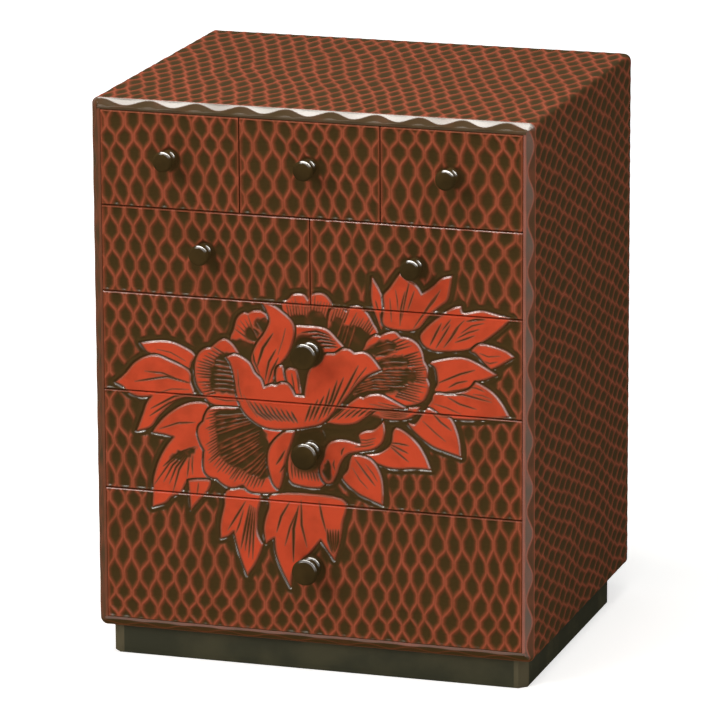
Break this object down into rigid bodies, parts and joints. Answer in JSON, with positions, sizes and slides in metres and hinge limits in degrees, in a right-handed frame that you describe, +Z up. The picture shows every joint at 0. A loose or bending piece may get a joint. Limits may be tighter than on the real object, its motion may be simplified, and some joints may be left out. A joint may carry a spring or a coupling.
{
  "type": "tabletop drawer chest",
  "caption": "Tabletop chest of drawers in carved lacquer on a set-back plinth, with flush drawer fronts that each slide out by a small turned knob.",
  "frame": {"origin": "on the table, at the middle of the chest's width and of its whole depth with the knobs", "axes": "+Z up, -Y out of the drawer fronts, +X to the right seen from the front"},
  "size_m": [0.3, 0.2554, 0.378],
  "materials": {
    "carved_lacquer": "carved wood in red lacquer over dark, semi-gloss",
    "black_lacquer": "smooth dark brown-black lacquer, semi-gloss",
    "case_wood": "plain planed wood, matt",
    "drawer_wood": "plain pale wood, matt",
    "knob_lacquer": "turned wood in dark brown lacquer, gloss",
    "screw_steel": "plain steel",
    "pin_brass": "dull brass"
  },
  "bodies": {
    "case": {"top_board": "carved_lacquer", "bottom_board": "carved_lacquer", "left_side_board": "carved_lacquer", "right_side_board": "carved_lacquer", "back_board": "black_lacquer", "top_row_shelf": "case_wood", "second_row_shelf": "case_wood", "third_row_shelf": "case_wood", "fourth_row_shelf": "case_wood", "top_row_left_divider": "case_wood", "top_row_right_divider": "case_wood", "second_row_divider": "case_wood", "plinth_front_rail": "black_lacquer", "plinth_back_rail": "black_lacquer", "plinth_left_rail": "black_lacquer", "plinth_right_rail": "black_lacquer", "plinth_glue_blocks": "case_wood", "back_pins": "pin_brass"},
    "top_left_drawer": {"top_left_front": "carved_lacquer", "top_left_walls": "drawer_wood", "top_left_bottom": "drawer_wood", "top_left_knob": "knob_lacquer", "top_left_screw": "screw_steel"},
    "top_middle_drawer": {"top_middle_front": "carved_lacquer", "top_middle_walls": "drawer_wood", "top_middle_bottom": "drawer_wood", "top_middle_knob": "knob_lacquer", "top_middle_screw": "screw_steel"},
    "top_right_drawer": {"top_right_front": "carved_lacquer", "top_right_walls": "drawer_wood", "top_right_bottom": "drawer_wood", "top_right_knob": "knob_lacquer", "top_right_screw": "screw_steel"},
    "second_left_drawer": {"second_left_front": "carved_lacquer", "second_left_walls": "drawer_wood", "second_left_bottom": "drawer_wood", "second_left_knob": "knob_lacquer", "second_left_screw": "screw_steel"},
    "second_right_drawer": {"second_right_front": "carved_lacquer", "second_right_walls": "drawer_wood", "second_right_bottom": "drawer_wood", "second_right_knob": "knob_lacquer", "second_right_screw": "screw_steel"},
    "third_drawer": {"third_front": "carved_lacquer", "third_walls": "drawer_wood", "third_bottom": "drawer_wood", "third_knob": "knob_lacquer", "third_screw": "screw_steel"},
    "fourth_drawer": {"fourth_front": "carved_lacquer", "fourth_walls": "drawer_wood", "fourth_bottom": "drawer_wood", "fourth_knob": "knob_lacquer", "fourth_screw": "screw_steel"},
    "fifth_drawer": {"fifth_front": "carved_lacquer", "fifth_walls": "drawer_wood", "fifth_bottom": "drawer_wood", "fifth_knob": "knob_lacquer", "fifth_screw": "screw_steel"}
  },
  "joints": [
    {"name": "top_left_slide", "type": "slide", "parent": "case", "child": "top_left_drawer", "axis": [0, -1, 0], "range_m": [0, 0.15]},
    {"name": "top_middle_slide", "type": "slide", "parent": "case", "child": "top_middle_drawer", "axis": [0, -1, 0], "range_m": [0, 0.15]},
    {"name": "top_right_slide", "type": "slide", "parent": "case", "child": "top_right_drawer", "axis": [0, -1, 0], "range_m": [0, 0.15]},
    {"name": "second_left_slide", "type": "slide", "parent": "case", "child": "second_left_drawer", "axis": [0, -1, 0], "range_m": [0, 0.15]},
    {"name": "second_right_slide", "type": "slide", "parent": "case", "child": "second_right_drawer", "axis": [0, -1, 0], "range_m": [0, 0.15]},
    {"name": "third_slide", "type": "slide", "parent": "case", "child": "third_drawer", "axis": [0, -1, 0], "range_m": [0, 0.15]},
    {"name": "fourth_slide", "type": "slide", "parent": "case", "child": "fourth_drawer", "axis": [0, -1, 0], "range_m": [0, 0.15]},
    {"name": "fifth_slide", "type": "slide", "parent": "case", "child": "fifth_drawer", "axis": [0, -1, 0], "range_m": [0, 0.15]}
  ]
}
